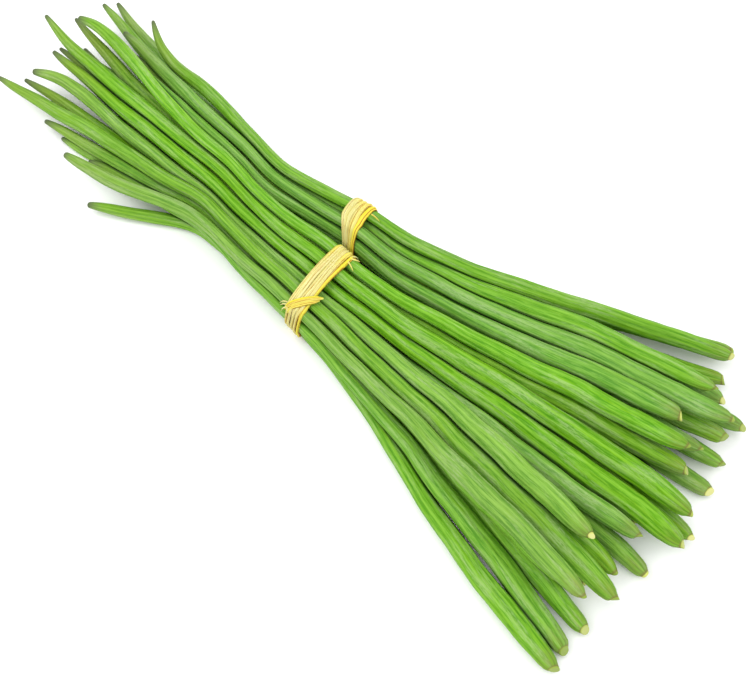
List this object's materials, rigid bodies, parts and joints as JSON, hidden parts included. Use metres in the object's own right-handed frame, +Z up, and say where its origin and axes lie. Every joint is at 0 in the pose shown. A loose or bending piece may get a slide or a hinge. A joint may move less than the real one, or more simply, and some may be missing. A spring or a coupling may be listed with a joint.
{
  "type": "bunch of moringa pods",
  "caption": "Long slender ribbed green pods in a fanned bunch lying flat, tapered to thin tips, stub stalks at the thick ends, tied round the middle with a flat raffia strip.",
  "frame": {"origin": "centre of the bounding box, at the bottom, on the surface that the bunch lies on", "axes": "+X along the pods towards their thick stalk ends, +Y across the bunch, +Z up"},
  "size_m": [0.528, 0.2236, 0.0403],
  "materials": {
    "pod": "satin",
    "raffia": "matte"
  },
  "bodies": {
    "root": {"pod_01": "pod", "pod_02": "pod", "pod_03": "pod", "pod_04": "pod", "pod_05": "pod", "pod_06": "pod", "pod_07": "pod", "pod_08": "pod", "pod_09": "pod", "pod_10": "pod", "pod_11": "pod", "pod_12": "pod", "pod_13": "pod", "pod_14": "pod", "pod_15": "pod", "pod_16": "pod", "pod_17": "pod", "pod_18": "pod", "pod_19": "pod", "pod_20": "pod", "pod_21": "pod", "pod_22": "pod", "pod_23": "pod", "pod_24": "pod", "pod_25": "pod", "pod_26": "pod", "pod_27": "pod", "pod_28": "pod", "pod_29": "pod", "pod_30": "pod", "raffia_tie": "raffia"}
  },
  "joints": []
}
